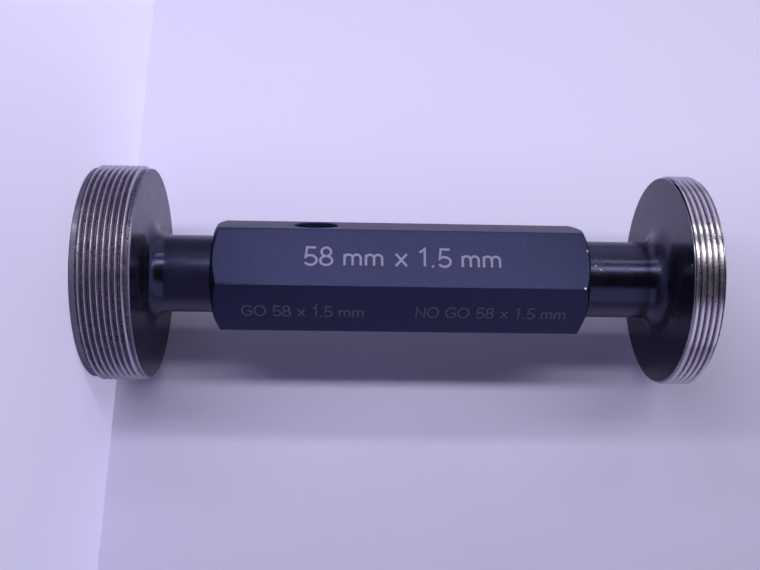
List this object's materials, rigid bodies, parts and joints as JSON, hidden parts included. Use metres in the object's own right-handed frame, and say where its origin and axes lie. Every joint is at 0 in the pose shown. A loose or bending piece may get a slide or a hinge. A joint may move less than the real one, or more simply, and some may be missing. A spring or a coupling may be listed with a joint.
{
  "type": "thread plug gauge",
  "caption": "Double-ended thread plug gauge with a wide GO disc, a narrow NO GO disc and a hexagon handle with a drift hole.",
  "frame": {"origin": "centre of the GO member's outer face, on which the gauge stands", "axes": "+Z along the gauge's axis from the GO end to the NO GO end, -Y out of the hexagon's front flat, +X to the right of it"},
  "size_m": [0.058, 0.058, 0.1615],
  "materials": {
    "gauge_steel": "hardened tool steel, black oxide with the threads ground bright",
    "anodised_handle": "bead-blasted, black anodised"
  },
  "bodies": {
    "root": {"go_member": "gauge_steel", "no_go_member": "gauge_steel", "handle": "anodised_handle"}
  },
  "joints": []
}
